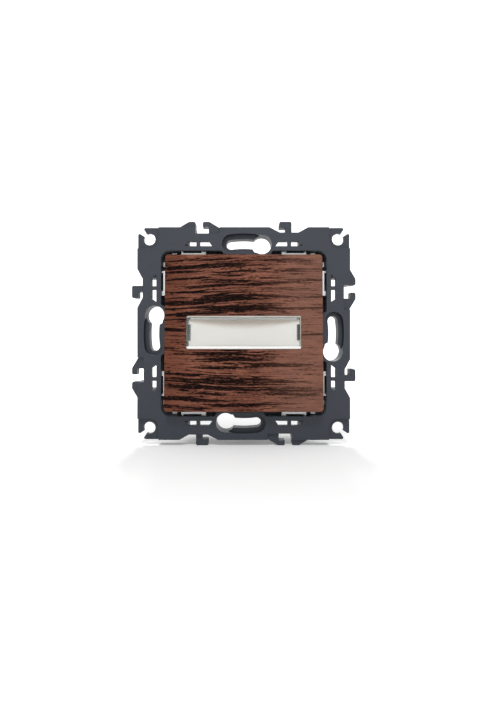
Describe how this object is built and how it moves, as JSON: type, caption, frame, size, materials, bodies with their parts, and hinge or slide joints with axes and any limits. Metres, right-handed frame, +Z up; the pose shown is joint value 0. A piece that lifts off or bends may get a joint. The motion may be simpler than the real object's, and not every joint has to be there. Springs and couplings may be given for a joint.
{
  "type": "illuminated doorbell push button",
  "caption": "Flush wall bell push without its surround: square mounting frame, white clip ring and a wood-finish rocking plate with a lit, bowed name window.",
  "frame": {"origin": "centre of the frame's screw pattern, on the wall's surface, which the frame's back face lies on", "axes": "+X right and +Z up as seen by a person at the door, +Y into the wall; the plate faces -Y"},
  "size_m": [0.075, 0.0334, 0.075],
  "materials": {
    "slate_plastic": "fine-grained dark slate moulding",
    "white_plastic": "smooth white moulding",
    "wood_finish": "satin wood-effect film with dark grain running across",
    "clear_plastic": "clear, polished",
    "label_card": "matt off-white film",
    "milky_plastic": "milky translucent",
    "housing_plastic": "dark grey moulding",
    "cradle_plastic": "light grey moulding",
    "contact_copper": "plain copper alloy strip",
    "contact_silver": "silver alloy",
    "clamp_brass": "plain brass",
    "zinc_steel": "bright zinc plating",
    "spring_steel": "drawn spring wire",
    "board_laminate": "green solder mask",
    "lamp_lens": "diffused warm lens",
    "resistor_body": "lacquered ceramic",
    "diode_body": "black moulding"
  },
  "bodies": {
    "root": {"mounting_frame": "slate_plastic", "clip_ring": "white_plastic", "housing": "housing_plastic", "mechanism_deck": "cradle_plastic", "fixed_contact_left": "contact_copper", "fixed_contact_right": "contact_copper", "fixed_contact_tips": "contact_silver", "return_spring": "spring_steel", "terminal_clamps": "clamp_brass", "terminal_screws": "zinc_steel", "lamp_board": "board_laminate", "lamps": "lamp_lens", "series_resistor": "resistor_body", "lamp_diode": "diode_body", "lamp_lead_left": "contact_copper", "lamp_lead_right": "contact_copper", "deck_screws": "zinc_steel", "ring_screws": "zinc_steel"},
    "rocker": {"push_plate": "wood_finish", "rocker_cradle": "cradle_plastic", "light_diffuser": "milky_plastic"},
    "cover": {"window_cover": "clear_plastic", "name_label": "label_card"},
    "plunger": {"plunger": "white_plastic", "contact_bridge": "contact_copper", "bridge_contact_tips": "contact_silver"}
  },
  "joints": [
    {"name": "press", "type": "hinge", "parent": "root", "child": "rocker", "pos_m": [0, -0.0033, 0], "axis": [1, 0, 0], "range_deg": [0, 5.25], "stiffness_Nm_per_rad": 0.098, "springref_deg": -12.32, "deforming": ["return_spring"]},
    {"name": "plunger_slide", "type": "slide", "parent": "root", "child": "plunger", "axis": [0, 1, 0], "range_m": [0, 0.0013], "deforming": ["return_spring"]},
    {"name": "cover_lift", "type": "slide", "parent": "rocker", "child": "cover", "axis": [0, -0.9984, 0.0567], "range_m": [0, 0.008]}
  ],
  "couplings": [
    {"joint": "plunger_slide", "follows": "press", "m_per_rad": 0.014}
  ]
}
